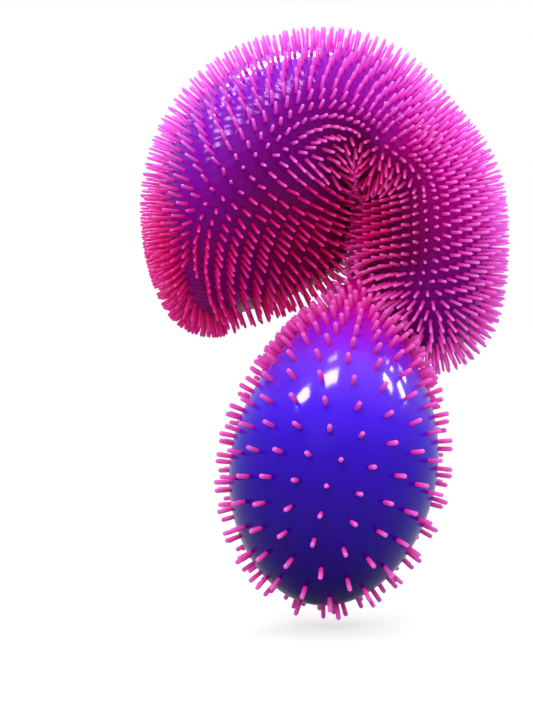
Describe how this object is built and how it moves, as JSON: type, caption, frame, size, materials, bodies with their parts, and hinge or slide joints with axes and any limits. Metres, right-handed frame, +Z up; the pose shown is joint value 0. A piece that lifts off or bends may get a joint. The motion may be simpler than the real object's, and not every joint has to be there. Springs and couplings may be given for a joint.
{
  "type": "squishy stress ball",
  "caption": "Spiky squishy stress ball held mid-squeeze: a soft pink rubber skin folded over the grip, its gel filling swollen into a glossy blue-violet bubble below.",
  "frame": {"origin": "middle of the grip, where a hand squeezes the ball between cheek and bubble", "axes": "+Z up along the longest extent, +X to the cheek's side, +Y to the back with the fill plug"},
  "size_m": [0.0863, 0.0772, 0.137],
  "materials": {
    "spiky_skin": "glossy translucent magenta rubber over a blue filling",
    "stretched_skin": "glossy stretched skin that shows the blue filling",
    "gel_filling": "blue gel",
    "fill_plug": "satin",
    "plug_glue": "clear glue"
  },
  "bodies": {
    "cheek": {"cheek_skin": "spiky_skin", "cheek_filling": "gel_filling"},
    "crown": {"crown_skin": "spiky_skin", "crown_filling": "gel_filling", "fill_plug": "fill_plug", "plug_glue_ring": "plug_glue"},
    "near_neck": {"near_neck_skin": "spiky_skin", "near_neck_filling": "gel_filling"},
    "far_neck": {"far_neck_skin": "spiky_skin", "far_neck_filling": "gel_filling"},
    "bubble": {"bubble_skin": "stretched_skin", "bubble_filling": "gel_filling"}
  },
  "joints": [
    {"name": "fold_open", "type": "hinge", "parent": "cheek", "child": "crown", "pos_m": [0.00121, 0, 0.06065], "axis": [0, 1, 0], "range_deg": [0, 10]},
    {"name": "bubble_nod", "type": "hinge", "parent": "cheek", "child": "near_neck", "pos_m": [-0.009, -0.003, 0.007], "axis": [1, 0, 0], "range_deg": [-18, 8], "stiffness_Nm_per_rad": 0.6, "deforming": ["near_neck_skin", "near_neck_filling"]},
    {"name": "bubble_sway", "type": "hinge", "parent": "near_neck", "child": "far_neck", "pos_m": [-0.009, -0.003, 0.007], "axis": [0, 1, 0], "range_deg": [-5, 11], "stiffness_Nm_per_rad": 0.6, "deforming": ["far_neck_skin", "far_neck_filling"]},
    {"name": "bubble_draw_back", "type": "slide", "parent": "far_neck", "child": "bubble", "axis": [-0.4969, -0.1988, 0.8447], "range_m": [0, 0.004]}
  ],
  "couplings": [
    {"joint": "bubble_draw_back", "follows": "fold_open", "m_per_rad": 0.0229}
  ]
}
